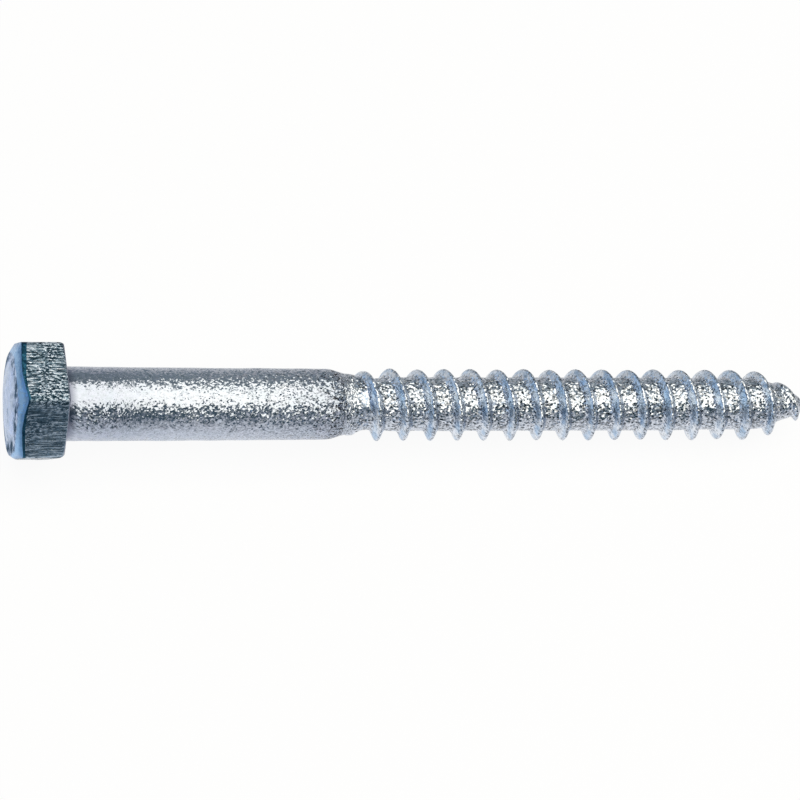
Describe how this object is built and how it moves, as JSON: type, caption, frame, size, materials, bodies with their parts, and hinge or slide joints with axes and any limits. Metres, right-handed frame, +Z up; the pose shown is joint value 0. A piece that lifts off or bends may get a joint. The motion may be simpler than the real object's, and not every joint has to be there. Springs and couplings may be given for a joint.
{
  "type": "lag screw",
  "caption": "Zinc-plated hexagon lag screw with a plain shank, a coarse wood thread and a gimlet point, for pulling a fitting tight against timber.",
  "frame": {"origin": "centre of the shank where it meets the underside of the head", "axes": "+X from the head to the tip, along the screw; +Z up with the screw lying on one flat of its head and one crest of its thread, which leaves the screw's own axis drooping 1.61 degrees below +X; +Y across, to the left when looking along +X"},
  "size_m": [0.1085, 0.0168, 0.0148],
  "materials": {
    "zinc_plated_steel": "bright zinc plate over forged and rolled steel: smooth on the crown of the head, the shank's underside and the flanks, with a fine sparkling grain elsewhere"
  },
  "bodies": {
    "root": {"lag_screw": "zinc_plated_steel"}
  },
  "joints": []
}
